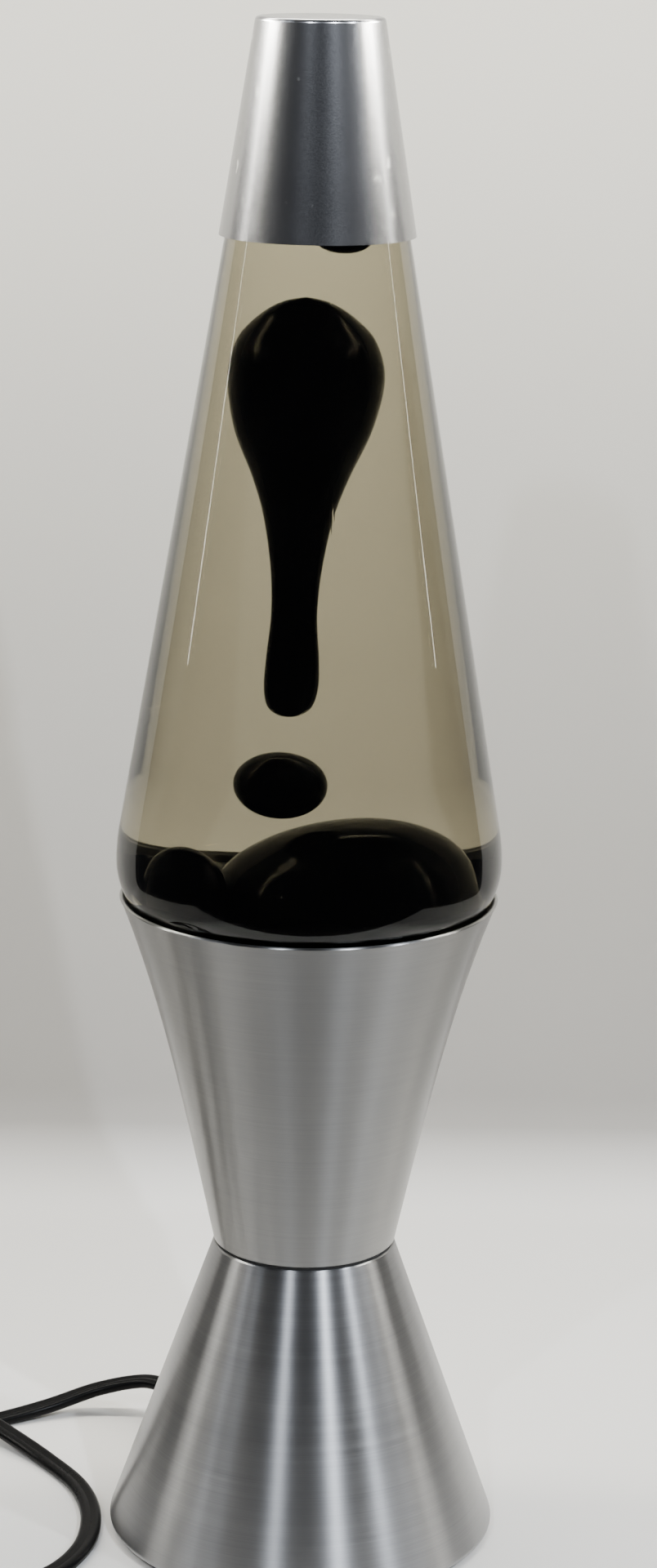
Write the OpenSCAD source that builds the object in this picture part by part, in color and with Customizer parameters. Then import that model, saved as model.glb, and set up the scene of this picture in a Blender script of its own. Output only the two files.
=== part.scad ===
// Lava lamp: tapered glass bottle of liquid and wax on an hourglass aluminium base,
// with a spun cap, a bulb in the waist and a two-core cord with an in-line switch.

/* [Base] */
// Radius of the base at its foot
foot_r = 47.4; // [40:0.1:60]
// Radius of the waist, where the two cones meet
waist_r = 22.1; // [20:0.1:26]
// Height of the waist above the table
waist_z = 75.4; // [62:0.1:92]
// Radius of the flare's rim, which the bottle sits in
rim_r = 45.1; // [39:0.1:56]
// Height of the flare's rim above the table
rim_z = 162.7; // [150:0.1:196]
// Wall of the two spun shells
shell_t = 1; // [0.8:0.1:1.4]
// Slope of the flare just above the waist, radius per height
flare_slope = 0.215; // [0.15:0.005:0.24]
// Height of the rubber ring that the foot stands on
pad_h = 1.6; // [1:0.1:3]

/* [Bottle] */
// How far the bottle's belly stands out over the rim
belly_over = 0.8; // [0.5:0.1:3]
// Height of the belly's widest ring above the rim
belly_up = 8.8; // [8.4:0.1:12]
// Radius of the belly's curve above its widest ring
shoulder_r = 43; // [25:1:60]
// Radius of the belly's curve below its widest ring
haunch_r = 18; // [14:1:19]
// Gap between the bottle's foot and the flare's wall
foot_gap = 4.3; // [2:0.1:6]
// How deep the bottle's foot reaches into the flare
bottle_in = 26.7; // [22:0.1:28]
// Wall of the glass
glass_t = 2.2; // [1.6:0.1:3]
// Outer radius of the bottle's neck
neck_r = 13.2; // [10:0.1:13.6]

/* [Cap] */
// Height of the cap from its lower rim to its top
cap_h = 48.9; // [45:0.1:60]
// Radius of the cap's lower rim
cap_rim_r = 22.6; // [21:0.1:27]
// Radius of the cap's flat top
cap_top_r = 14.8; // [14.6:0.1:20]
// Wall of the cap
cap_t = 0.8; // [0.6:0.1:1.2]
// Least gap between the cap's wall and the glass
cap_gap = 0.6; // [0.4:0.05:2]
// Height of the whole lamp
lamp_h = 368; // [330:1:450]

/* [Bulb and socket] */
// Radius of the bulb's globe
globe_r = 17.5; // [14:0.1:18]
// Length of the bulb from its contact to its top
bulb_l = 56; // [50:0.5:57]
// Outer radius of the bulb's screw base
screw_r = 8.35; // [7:0.05:8.6]
// Outer radius of the socket's threaded body
socket_r = 11.5; // [11.2:0.1:14]

/* [Cord] */
// Width of the flat two-core cord
cord_w = 5.3; // [4.5:0.1:5.6]
// Thickness of the cord
cord_t = 2.8; // [2.4:0.1:3]
// Angle round the foot where the cord comes out
exit_a = 122; // [115:1:130]
// Height of the cord's outlet above the table
exit_z = 10.5; // [9:0.1:14]
// Length of the strain relief outside the wall
relief_l = 20; // [18:1:24]
// Length of the in-line switch
switch_l = 52; // [48:1:54]
// Width of the in-line switch
switch_w = 20; // [17:0.5:24]
// Height of the in-line switch
switch_h = 15; // [13:0.5:18]

/* [Hidden] */
$fn = 96;
fit = 0.3;          // gap between pieces that move apart
close = 0.1;        // gap of a running fit
over = 1;           // how far a cutter passes its faces

// -- curves ---------------------------------------------------------------
function arc(r, z, radius, from, to, steps = 8) =
    [for (i = [0 : steps]) let (a = from + (to - from) * i / steps)
        [r + radius * cos(a), z + radius * sin(a)]];
// a smooth curve through every point of a list, with a few steps between two points
function through(a, b, c, d, t) =
    0.5 * (2 * b + (c - a) * t + (2 * a - 5 * b + 4 * c - d) * t * t
        + (3 * b - a - 3 * c + d) * t * t * t);
function at(p, i) = p[max(0, min(len(p) - 1, i))];
function smooth(p, steps) =
    [for (i = [0 : len(p) - 2], s = [0 : steps - 1])
        through(at(p, i - 1), p[i], p[i + 1], at(p, i + 2), s / steps), p[len(p) - 1]];
function unit(v) = v / norm(v);
module lathe(points) rotate_extrude() polygon(points);

// -- base -----------------------------------------------------------------
seam_t = 0.8;                               // thickness of the waist gasket
flare_z = waist_z + seam_t / 2;             // underside of the upper shell
cone_z = waist_z - seam_t / 2;              // top of the lower shell
flare_h = rim_z - flare_z;
bloom = rim_r - waist_r - flare_slope * flare_h;
bloom_power = 3.5;
function flare_r(z) = waist_r + flare_slope * (z - flare_z)
    + bloom * pow(max(0, z - flare_z) / flare_h, bloom_power);
bead_r = 1.2;                               // rolled edge at the foot
cone_slope = (foot_r - waist_r) / (cone_z - pad_h - bead_r);
function cone_r(z) = waist_r + cone_slope * (cone_z - z);
wall_x = shell_t * sqrt(1 + cone_slope * cone_slope);   // the wall, measured level
hem_w = 7;                                  // width of the hem turned in at the foot
hole_r = socket_r + 0.2;                    // hole in both shells for the socket
flare_steps = 26;

module upper_shell() color("silver")
    lathe(concat(
        [[hole_r, flare_z], [waist_r - 0.3, flare_z]],
        [for (i = [0 : flare_steps]) let (z = flare_z + 0.3 + (flare_h - 0.8) * i / flare_steps)
            [flare_r(z), z]],
        arc(rim_r - shell_t / 2, rim_z - shell_t / 2, shell_t / 2, 10, 170, 6),
        [for (i = [flare_steps : -1 : 1])
            let (z = flare_z + shell_t + (flare_h - shell_t - 0.8) * i / flare_steps)
            [flare_r(z) - wall_x, z]],
        [[flare_r(flare_z) - wall_x, flare_z + shell_t], [hole_r, flare_z + shell_t]]));

module lower_shell() color("silver")
    difference() {
        lathe(concat(
            [[hole_r, cone_z - shell_t], [waist_r - wall_x, cone_z - shell_t]],
            [[cone_r(pad_h + 3) - wall_x, pad_h + 3], [foot_r - bead_r - 0.6, pad_h + shell_t],
                [foot_r - hem_w, pad_h + shell_t], [foot_r - hem_w, pad_h]],
            arc(foot_r - bead_r, pad_h + bead_r, bead_r, -90, 18, 8),
            [[waist_r, cone_z - 0.3], [waist_r - 0.3, cone_z], [hole_r, cone_z]]));
        rotate([0, 0, exit_a]) translate([cone_r(exit_z) - 10, 0, exit_z])
            rotate([0, 90, 0]) cylinder(h = 20, r = outlet_r);
    }

module waist_gasket() color("black")
    lathe([[hole_r, cone_z], [waist_r - 0.5, cone_z], [waist_r - 0.5, flare_z], [hole_r, flare_z]]);

plate_t = 1;
plate_z = pad_h + shell_t;
plate_r = foot_r - bead_r - 1.6 - cone_slope * plate_t;
vents = 12;
screw_ring_r = foot_r - 11;
bracket_h = 9;
bracket_w = 10;
bracket_in = 5;                             // reach of a bracket inside its screw
screws = [30, 200, 280];                    // angles of the plate's screws
tap_r = 1.3;

module base_plate() color("dimgray")
    difference() {
        translate([0, 0, plate_z]) cylinder(h = plate_t, r = plate_r);
        for (i = [0 : vents - 1]) rotate([0, 0, i * 360 / vents + 15])
            translate([foot_r * 0.34, -1.5, plate_z - over])
                cube([foot_r * 0.3, 3, plate_t + 2 * over]);
        for (a = screws) rotate([0, 0, a]) translate([screw_ring_r, 0, plate_z - over])
            cylinder(h = plate_t + 2 * over, r = tap_r + close);
    }

module plate_brackets() color("gray")
    for (a = screws) rotate([0, 0, a]) difference() {
        intersection() {
            translate([screw_ring_r - bracket_in, -bracket_w / 2, plate_z + plate_t])
                cube([foot_r, bracket_w, bracket_h]);
            lathe([[0, 0], [cone_r(0) - wall_x, 0],
                [cone_r(cone_z) - wall_x, cone_z], [0, cone_z]]);
        }
        translate([screw_ring_r, 0, plate_z]) cylinder(h = bracket_h - 1, r = tap_r);
    }

module plate_screws() color("gray")
    for (a = screws) rotate([0, 0, a]) translate([screw_ring_r, 0, 0]) {
        translate([0, 0, plate_z]) cylinder(h = bracket_h - 2, r = tap_r);
        translate([0, 0, plate_z - 0.9]) cylinder(h = 0.9, r = 2.4);
    }

module foot_ring() color("black")
    lathe([[foot_r - hem_w + 3, 0], [foot_r - 2.4, 0], [foot_r - 2, 0.4], [foot_r - 2, pad_h],
        [foot_r - hem_w + 3, pad_h]]);

// -- socket ---------------------------------------------------------------
flange_r = socket_r + 4;
flange_t = 1.8;
socket_top = flare_z + shell_t + flange_t;
socket_z = socket_top - 29;                 // underside of the socket
socket_wall = 1.8;
tube_r = socket_r - socket_wall;            // bore of the socket
well_z = socket_z + 4;                      // floor of the bore
nut_h = 3.4;

module socket_body() color("ivory")
    lathe([[0, socket_z], [socket_r, socket_z], [socket_r, socket_top - flange_t],
        [flange_r, socket_top - flange_t], [flange_r, socket_top], [tube_r, socket_top],
        [tube_r, well_z], [0, well_z]]);

module socket_nut() color("gray")
    difference() {
        translate([0, 0, cone_z - shell_t - nut_h]) cylinder(h = nut_h, r = flange_r);
        translate([0, 0, socket_z]) cylinder(h = socket_top, r = socket_r);
        for (i = [0 : 7]) rotate([0, 0, i * 45])
            translate([flange_r - 1.2, -1.5, cone_z - shell_t - nut_h - over])
                cube([4, 3, nut_h + over - 0.8]);
    }

module socket_shell() color("goldenrod")
    lathe([[tube_r, well_z + 2], [tube_r, socket_top - 1], [screw_r + fit, socket_top - 1],
        [screw_r + fit, well_z + 2.6], [screw_r - 1.5, well_z + 2.6], [screw_r - 1.5, well_z + 2]]);

contact_z = socket_top - 17.6;              // where the bulb's tip sits
module socket_contact() color("goldenrod")
    lathe([[0, well_z], [4, well_z], [4, well_z + 0.6], [1.8, well_z + 1.4],
        [1.8, contact_z - 1], [0, contact_z - 0.2]]);

module socket_terminals() color("goldenrod")
    for (x = [-1, 1]) translate([x * socket_r * 0.55, 0, socket_z - 2.4])
        cylinder(h = 2.4, r = 2.4);

// -- bulb -----------------------------------------------------------------
bulb_top = contact_z + bulb_l;
globe_z = bulb_top - globe_r;
bulb_neck_r = screw_r - 1;
skirt_z = contact_z + 17;
bulb_wall = 0.7;
globe_low = -50;                            // angle where the globe runs into its neck
function bulb_outline(t) = concat([[bulb_neck_r - t, skirt_z - 4], [bulb_neck_r - t, skirt_z + 1]],
    arc(0, globe_z, globe_r - t, globe_low, 90, 20));
thread_n = 5;
function thread(r, low, high) =
    [for (i = [0 : thread_n * 4]) [r - 0.25 + 0.25 * cos(i * 90 - 180),
        low + (high - low) * i / (thread_n * 4)]];

module bulb_glass() color([0.9, 0.95, 1, 0.4])
    lathe(concat(bulb_outline(0), [for (i = [22 : -1 : 0]) bulb_outline(bulb_wall)[i]]));

module bulb_stem() color([0.9, 0.95, 1, 0.6])
    lathe([[0, skirt_z - 4], [bulb_neck_r - bulb_wall, skirt_z - 4],
        [bulb_neck_r - bulb_wall, skirt_z - 2], [2.4, skirt_z + 2], [2, skirt_z + 9],
        [0, skirt_z + 9]]);

lead_top = globe_z + 1;
lead_x = 6;
module bulb_leads() color("gray")
    for (x = [-1, 1]) translate([x * 1.2, 0, skirt_z + 8.4])
        rotate([0, x * atan((lead_x - 1.2) / (lead_top - skirt_z - 8.4)), 0])
            cylinder(h = norm([lead_x - 1.2, lead_top - skirt_z - 8.4]), r = 0.3, $fn = 16);

module bulb_filament() color("gray")
    translate([-lead_x, 0, lead_top]) rotate([0, 90, 0]) cylinder(h = 2 * lead_x, r = 0.6, $fn = 16);

module bulb_base() color("goldenrod")
    lathe(concat([[bulb_neck_r + 0.1, skirt_z], [bulb_neck_r + 0.1, contact_z + 4],
        [screw_r - 1.4, contact_z + 3.2]], thread(screw_r, contact_z + 4, skirt_z)));

module bulb_insulator() color("black")
    lathe([[0, contact_z + 1], [3, contact_z + 1], [screw_r - 1.4, contact_z + 3.2],
        [bulb_neck_r - 0.4, contact_z + 4], [0, contact_z + 4]]);

module bulb_contact() color("silver")
    lathe([[0, contact_z], [1.6, contact_z + 0.3], [2.2, contact_z + 1], [0, contact_z + 1]]);

// -- bottle ---------------------------------------------------------------
belly_r = rim_r + belly_over;
belly_z = rim_z + belly_up;
bottle_z = rim_z - bottle_in;
cap_z = lamp_h - cap_h;
cap_edge = 1;                               // rounding of the cap's top edge
cap_slope = (cap_rim_r - cap_top_r) / (cap_h - cap_edge);
cap_x = cap_t * sqrt(1 + cap_slope * cap_slope);
neck_up = 18;                               // foot of the neck's curve over the cap's rim
neck_z = cap_z + neck_up;
mouth_r = cap_rim_r - cap_x - cap_gap;      // room for the glass at the cap's rim
centre_r = belly_r - shoulder_r;
// slope of a side that leaves the shoulder and passes a point
function taper(r, z) = atan2(z - belly_z, r - centre_r)
    - acos(shoulder_r / norm([r - centre_r, z - belly_z]));
taper_a = max(taper(mouth_r, cap_z), taper(mouth_r - cap_slope * neck_up, neck_z));
neck_foot_r = centre_r + (shoulder_r - (neck_z - belly_z) * sin(taper_a)) / cos(taper_a);
heel_r = 4;
heel_z = bottle_z + heel_r;
foot_out = flare_r(heel_z) - wall_x - foot_gap - belly_r + haunch_r;
heel_a = atan2(belly_z - heel_z, foot_out) - acos(haunch_r / norm([foot_out, belly_z - heel_z]));
turn_r = belly_r - haunch_r * (1 - cos(heel_a));
turn_z = belly_z - haunch_r * sin(heel_a);
heel_x = turn_r + ((heel_z - turn_z) * sin(heel_a) - heel_r) / cos(heel_a);
neck_h = 7;
finish_z = lamp_h - 16;                     // top of the glass
floor_t = 3.2;
neck_steps = 10;

// the bottle's side at a depth t inside its outer face, from the foot to the neck
function side(t) = concat(
    arc(heel_x, heel_z, heel_r - t, -90, -heel_a, 6),
    arc(belly_r - haunch_r, belly_z, haunch_r - t, -heel_a, 0, 8),
    arc(centre_r, belly_z, shoulder_r - t, 0, taper_a, 8),
    [for (i = [0 : neck_steps])
        [neck_foot_r - t - (neck_foot_r - neck_r) * (1 - cos(180 * i / neck_steps)) / 2,
            neck_z + neck_h * i / neck_steps]]);
inner = [for (p = side(glass_t)) [p[0], max(p[1], bottle_z + floor_t)]];

module bottle_glass() color([0.85, 0.9, 0.85, 0.3])
    lathe(concat([[0, bottle_z + 1], [heel_x - 8, bottle_z + 1], [heel_x - 4, bottle_z]],
        side(0), [[neck_r, finish_z], [neck_r - glass_t, finish_z]],
        [for (i = [len(inner) - 1 : -1 : 0]) inner[i]], [[0, bottle_z + floor_t]]));

// what fills the bottle between two levels
function inner_r(z) = lookup(z, [for (p = inner) [p[1], p[0]]]);
module fill(low, high)
    lathe(concat([[0, low], [inner_r(low), low]],
        [for (p = inner) if (p[1] > low && p[1] < high) p],
        [[inner_r(high), high], [0, high]]));

crown_r = neck_r + 0.3;
crown_t = 0.4;
liner_t = 0.6;
crown_h = 6;
flutes = 21;
module closure_liner() color("white")
    translate([0, 0, finish_z]) cylinder(h = liner_t, r = neck_r);
module bottle_closure() color("silver")
    difference() {
        union() {
            translate([0, 0, finish_z + liner_t - crown_h])
                cylinder(h = crown_h + crown_t, r = crown_r + crown_t);
            for (i = [0 : flutes - 1]) rotate([0, 0, i * 360 / flutes])
                translate([crown_r + 0.2, 0, finish_z + liner_t - crown_h])
                    cylinder(h = crown_h - 1.5, r = 0.8, $fn = 20);
        }
        translate([0, 0, finish_z + liner_t - crown_h - over])
            cylinder(h = crown_h + over, r = crown_r);
    }

coil_ring_r = 19;
coil_tube_r = 3;
coil_z = bottle_z + floor_t + coil_tube_r + 0.2;
module heating_coil() color("gray")
    rotate_extrude() translate([coil_ring_r, coil_z]) circle(r = coil_tube_r, $fn = 32);

pool_z = rim_z - 1.5;                       // level of the wax that lies in the foot
mound = [7, 0, 22, 22];                     // place, spread and height of its main swell
lobe = [-22, -6, 11, 11];                   // place, spread and height of its side swell
function swell(s, h) = smooth([[0, h], [s * 0.35, h * 0.9], [s * 0.62, h * 0.5],
    [s * 0.84, h * 0.12], [s, -1]], 4);
module swelling(m) translate([m[0], m[1], pool_z])
    lathe(concat(swell(m[2], m[3]), [[m[2], -4], [0, -4]]));
module wax_mass() color("black")
    difference() {
        union() {
            fill(bottle_z + floor_t, pool_z);
            swelling(mound);
            swelling(lobe);
        }
        heating_coil();
    }

drop_z = rim_z + 44;                        // underside of the long drop
drop = [[0, 0], [3, 1.2], [4.6, 6], [4.4, 14], [3.6, 24], [4.4, 36], [6.3, 48], [8.4, 56],
    [11.8, 67], [13.4, 80], [10.6, 92], [5.4, 98], [0, 100]];
module wax_drop() color("black")
    translate([-3.4, 0, drop_z]) rotate([0, 1.2, 0]) lathe(smooth(drop, 3));

bubble = [-5.2, 0, rim_z + 27.5];
bubble_r = [8.4, 7.8];
module wax_bubble() color("black")
    translate(bubble) lathe([for (a = [-90 : 7.5 : 90]) [bubble_r[0] * cos(a), bubble_r[1] * sin(a)]]);

level_z = cap_z + 4;                        // surface of the liquid
film = [5.2, 0, 5.8, 6.6];                  // place, spread and depth of the wax at the top
module wax_film() color("black")
    translate([film[0], film[1], level_z - film[3]])
        lathe([for (a = [-90 : 10 : 90]) [film[2] * cos(a), film[3] * (1 + sin(a)) / 2 - 0.2]]);

module liquid() color([0.8, 0.76, 0.62, 0.5])
    difference() {
        fill(pool_z, level_z);
        swelling(mound);
        swelling(lobe);
        wax_drop();
        wax_bubble();
        wax_film();
    }

// -- cap ------------------------------------------------------------------
module cap() color("silver")
    lathe(concat([[cap_rim_r - cap_x, cap_z], [cap_rim_r, cap_z]],
        arc(cap_top_r - cap_edge, lamp_h - cap_edge, cap_edge, 10, 90, 5),
        [[0, lamp_h], [0, lamp_h - cap_t], [cap_top_r - cap_x - 0.2, lamp_h - cap_t]]));

// -- strain relief and wires ------------------------------------------------
outlet_r = 4.6;                             // hole in the wall
relief_tip_r = 3.4;
collar = 6.4;                               // radius of the relief's collar
relief_in = 8;                              // its length inside the wall
wall_r = cone_r(exit_z);
tip_r = wall_r + relief_l;
ribs = 5;
relief_side = concat([[0, -relief_in], [outlet_r - close, -relief_in],
    [outlet_r - close, 3], [outlet_r, 3]],
    [for (i = [0 : ribs - 1]) let (x = 5 + i * (relief_l - 7) / ribs,
        r = outlet_r + (relief_tip_r - outlet_r) * i / ribs)
        for (k = [[0, r], [1.3, r], [1.3, r - 0.6], [2, r - 0.6]]) [k[1], x + k[0]]],
    [[relief_tip_r, relief_l - 1.4], [relief_tip_r - 0.3, relief_l], [0, relief_l]]);

module along_exit() rotate([0, 0, exit_a]) translate([wall_r, 0, exit_z]) rotate([0, 90, 0])
    children();

module cord_bushing() color("black") {
    along_exit() lathe(relief_side);
    difference() {
        along_exit() translate([0, 0, -4]) cylinder(h = 7, r = collar);
        lathe([[0, 0], [cone_r(0), 0], [cone_r(cone_z), cone_z], [0, cone_z]]);
    }
    difference() {
        intersection() {
            along_exit() translate([0, 0, -relief_in]) cylinder(h = 12, r = collar - 0.4);
            lathe([[0, 0], [cone_r(0) - wall_x, 0], [cone_r(cone_z) - wall_x, cone_z], [0, cone_z]]);
        }
        rotate([0, 0, exit_a]) translate([0, -10, 0]) cube([wall_r - 6, 20, cone_z]);
    }
}

// -- swept tubes ------------------------------------------------------------
sides = 10;
function flat(v) = unit([v[0], v[1], 0]);
function side_of(p, i) = let (f = flat(at(p, i + 1) - at(p, i - 1))) [-f[1], f[0], 0];
function ring(p, i, w, t) =
    let (f = unit(at(p, i + 1) - at(p, i - 1)), s = side_of(p, i), u = cross(f, s))
    [for (k = [0 : sides - 1]) let (a = k * 360 / sides)
        p[i] + s * cos(a) * w / 2 + u * sin(a) * t / 2];
module tube(p, w, t)
    polyhedron(
        points = [for (i = [0 : len(p) - 1]) each ring(p, i, w, t)],
        faces = concat(
            [for (i = [0 : len(p) - 2], k = [0 : sides - 1])
                [i * sides + k, (i + 1) * sides + k, (i + 1) * sides + (k + 1) % sides,
                    i * sides + (k + 1) % sides]],
            [[for (k = [0 : sides - 1]) k]],
            [[for (k = [sides - 1 : -1 : 0]) (len(p) - 1) * sides + k]]));

wire_w = 2.2;
inlet = wall_r - relief_in;
module wire_leads() color("black")
    for (side = [-1, 1])
        tube(smooth([
            inlet * [cos(exit_a), sin(exit_a), 0]
                + side * [-sin(exit_a), cos(exit_a), 0] * 1.3 + [0, 0, exit_z],
            (inlet - 8) * [cos(exit_a), sin(exit_a), 0]
                + side * [-sin(exit_a), cos(exit_a), 0] * 2 + [0, 0, exit_z + 1],
            [-10 - side * 3, 18, exit_z + 12],
            [-side * socket_r * 0.5, 4, socket_z - 14],
            [-side * socket_r * 0.55, 0, socket_z - 2.4]], 4), wire_w, wire_w);

switch_at = [-141, 69];
lead_z = 5.5;                               // height of the cord in the switch
switch_in = [switch_at[0] + switch_l / 2, switch_at[1], lead_z];
switch_out = [switch_at[0] - switch_l / 2, switch_at[1], lead_z];
// route of the cord where it isn't coiled, from the strain relief to the switch
tip = [tip_r * cos(exit_a), tip_r * sin(exit_a), exit_z];
lead_route = concat([tip], [[-42, 61, 9.5], [-54, 62.5, 6.5], [-67, 59, 3], [-80, 53, 1.5],
    [-97, 43, 1.5], [-111, 29, 1.5], [-120, 11, 1.5], [-120.5, -8, 1.5], [-113, -26, 1.5],
    [-98, -38.5, 1.5], [-79, -43, 1.5], [-62, -37, 1.5], [-53.5, -22, 1.5], [-52, -4, 1.5],
    [-56, 13, 1.5], [-65, 28, 1.6], [-76, 40, 3.4], [-87, 51, 4.9], [-98, 61, 5]],
    [[-108, 67, 5.2], switch_in]);
coil_at = [-162, 22];
coil_r = 29.4;                              // middle of the coil's turns
layers = 3;
tie_t = 0.6;
turn_h = cord_t + 0.05;
coil_low = tie_t;
coil_top = coil_low + layers * turn_h;
coil_out = coil_r + cord_w + 0.1;
coil_in = coil_r - cord_w - 0.1;
link_route = [switch_out, switch_out + [-8, 0, -1.5], [-187, 62, 2.4], [-193, 50, 2],
    [coil_at[0] - coil_out + cord_w / 2, 34, 2], [coil_at[0] - coil_out + cord_w / 2, 24, 2]];
plug_at = [-167, -34];
plug_z = 6.5;
tail_route = [[coil_at[0] - coil_out + cord_w / 2, 20, coil_top - cord_t / 2],
    [-194, 6, coil_top - cord_t / 2], [-191, -11, 7.6], [-185, -24, 7.2], [-176, -32, 6.8],
    [plug_at[0], plug_at[1], plug_z]];

module cord_lead() color("black") tube(smooth(lead_route, 2), cord_w, cord_t);
module cord_link() color("black") tube(smooth(link_route, 2), cord_w, cord_t);
module cord_tail() color("black") tube(smooth(tail_route, 2), cord_w, cord_t);

module cord_coil() color("black")
    translate([coil_at[0], coil_at[1], 0])
        lathe([[coil_in, coil_low], [coil_out, coil_low], [coil_out, coil_top],
            [coil_in, coil_top]]);

tie_from = 290;
tie_a = 14;
module cord_tie() color("black")
    translate([coil_at[0], coil_at[1], 0]) rotate([0, 0, tie_from])
        rotate_extrude(angle = tie_a) difference() {
            translate([coil_in - tie_t, coil_low - tie_t])
                square([coil_out - coil_in + 2 * tie_t, coil_top - coil_low + 2 * tie_t]);
            translate([coil_in, coil_low]) square([coil_out - coil_in, coil_top - coil_low]);
        }

// -- in-line switch ---------------------------------------------------------
split_z = lead_z;                           // height where the two halves meet
case_t = 2;
nose = 9;                                   // length of the tapered nose at each end
nose_w = cord_w + 5;
slot_l = 20;
slot_w = 9.4;
rocker_gap = 0.35;
pin_r = 1.2;
pin_z = switch_h - 4.5;
rocker_r = 9.2;                             // radius of the rocker's curved underside
rocker_tilt = 8;

module switch_plan()
    polygon([[-switch_l / 2, -nose_w / 2], [-switch_l / 2 + nose, -switch_w / 2],
        [switch_l / 2 - nose, -switch_w / 2], [switch_l / 2, -nose_w / 2],
        [switch_l / 2, nose_w / 2], [switch_l / 2 - nose, switch_w / 2],
        [-switch_l / 2 + nose, switch_w / 2], [-switch_l / 2, nose_w / 2]]);
module at_switch() translate([switch_at[0], switch_at[1], 0]) children();
module cavity(low, high)
    translate([-switch_l / 2 + nose + case_t, -switch_w / 2 + case_t, low])
        cube([switch_l - 2 * (nose + case_t), switch_w - 2 * case_t, high - low]);
screw_x = switch_l / 2 - 5;
case_screw_r = 1.2;

module switch_lower() color("black") at_switch()
    difference() {
        linear_extrude(height = split_z) switch_plan();
        cavity(case_t, split_z + over);
        for (x = [-1, 1]) translate([x * screw_x, 0, split_z - cord_t / 2 - 2.4])
            cylinder(h = switch_h, r = case_screw_r);
    }

module switch_upper() color("black") at_switch()
    difference() {
        translate([0, 0, split_z]) linear_extrude(height = switch_h - split_z - 1.5) switch_plan();
        cavity(split_z - over, switch_h - 1.5 - case_t);
        translate([-slot_l / 2, -slot_w / 2, split_z]) cube([slot_l, slot_w, switch_h]);
        for (x = [-1, 1]) translate([x * screw_x, 0, 0]) {
            cylinder(h = switch_h, r = case_screw_r);
            translate([0, 0, switch_h - 3]) cylinder(h = switch_h, r = 2.5);
        }
        translate([0, slot_w / 2 + 2.5, pin_z]) rotate([90, 0, 0])
            cylinder(h = slot_w + 5, r = pin_r);
    }

module switch_rocker() color("black") at_switch()
    translate([0, 0, pin_z]) rotate([0, rocker_tilt, 0]) difference() {
        translate([0, slot_w / 2 - rocker_gap, 0]) rotate([90, 0, 0])
            linear_extrude(height = slot_w - 2 * rocker_gap)
                polygon(concat([[-8.6, 1], [-8.6, 3.2], [-7, 4.2], [0, 2.9], [7, 4.2],
                    [8.6, 3.2], [8.6, 1], [3, -3]], [[-3, -3]]));
        translate([0, slot_w, 0]) rotate([90, 0, 0]) cylinder(h = 2 * slot_w, r = pin_r + close / 2);
    }

module switch_pin() color("gray") at_switch()
    translate([0, slot_w / 2 + 2.5, pin_z]) rotate([90, 0, 0]) cylinder(h = slot_w + 5, r = pin_r);

module switch_screws() color("gray") at_switch()
    for (x = [-1, 1]) translate([x * screw_x, 0, 0]) {
        translate([0, 0, split_z - cord_t / 2 - 2.4])
            cylinder(h = switch_h - 3 - split_z + cord_t / 2 + 2.4, r = case_screw_r);
        translate([0, 0, switch_h - 3]) cylinder(h = 1.3, r = 2.2);
    }

module switch_contacts() color("goldenrod") at_switch()
    for (y = [-1, 1]) translate([-10, y * 4 - 1.2, case_t]) cube([20, 2.4, 0.8]);

// -- plug -------------------------------------------------------------------
plug_l = 27;
plug_w = 23;
plug_h = 13;
blade_l = 16;
blade_gap = 12.7;
module at_plug() translate([plug_at[0], plug_at[1], 0]) children();
module plug_body() color("black") at_plug()
    difference() {
        linear_extrude(height = plug_h)
            polygon([[0, -4.5], [8, -5], [13, -plug_w / 2 + 1], [15, -plug_w / 2],
                [plug_l - 1, -plug_w / 2], [plug_l, -plug_w / 2 + 1],
                [plug_l, plug_w / 2 - 1], [plug_l - 1, plug_w / 2], [15, plug_w / 2],
                [13, plug_w / 2 - 1], [8, 5], [0, 4.5]]);
        for (y = [-1, 1]) translate([plug_l - 6, y * blade_gap / 2 - 0.75, plug_z - 3.2])
            cube([10, 1.5, 6.4]);
    }
module plug_blades() color("goldenrod") at_plug()
    for (y = [-1, 1]) translate([plug_l - 6, y * blade_gap / 2 - 0.75, plug_z - 3.2])
        cube([6 + blade_l, 1.5, 6.4]);

cap();
bottle_glass();
bottle_closure();
closure_liner();
liquid();
wax_mass();
wax_drop();
wax_bubble();
wax_film();
heating_coil();
upper_shell();
lower_shell();
waist_gasket();
socket_body();
socket_nut();
socket_shell();
socket_contact();
socket_terminals();
bulb_glass();
bulb_stem();
bulb_leads();
bulb_filament();
bulb_base();
bulb_insulator();
bulb_contact();
base_plate();
plate_brackets();
plate_screws();
foot_ring();
cord_bushing();
wire_leads();
cord_lead();
cord_link();
cord_tail();
cord_coil();
cord_tie();
switch_lower();
switch_upper();
switch_rocker();
switch_pin();
switch_screws();
switch_contacts();
plug_body();
plug_blades();
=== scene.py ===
# %% [markdown]
# # A lava lamp, finished
#
# The lamp is a tapered glass bottle of pale liquid and black wax. It stands in an hourglass
# base of spun aluminium, under a small metal cap, and a flat two-core cord runs from the
# back of the base through an in-line switch to its plug. The frame already holds every
# piece at its real size. This file gives the pieces their finishes and replaces the soft
# and flowing ones: the wax, the liquid, the cord and the clear glass, which all need finer
# meshes than a working model has.

# %% Load the frame
import math

import bmesh
import bpy
from mathutils import Matrix, Vector


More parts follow.
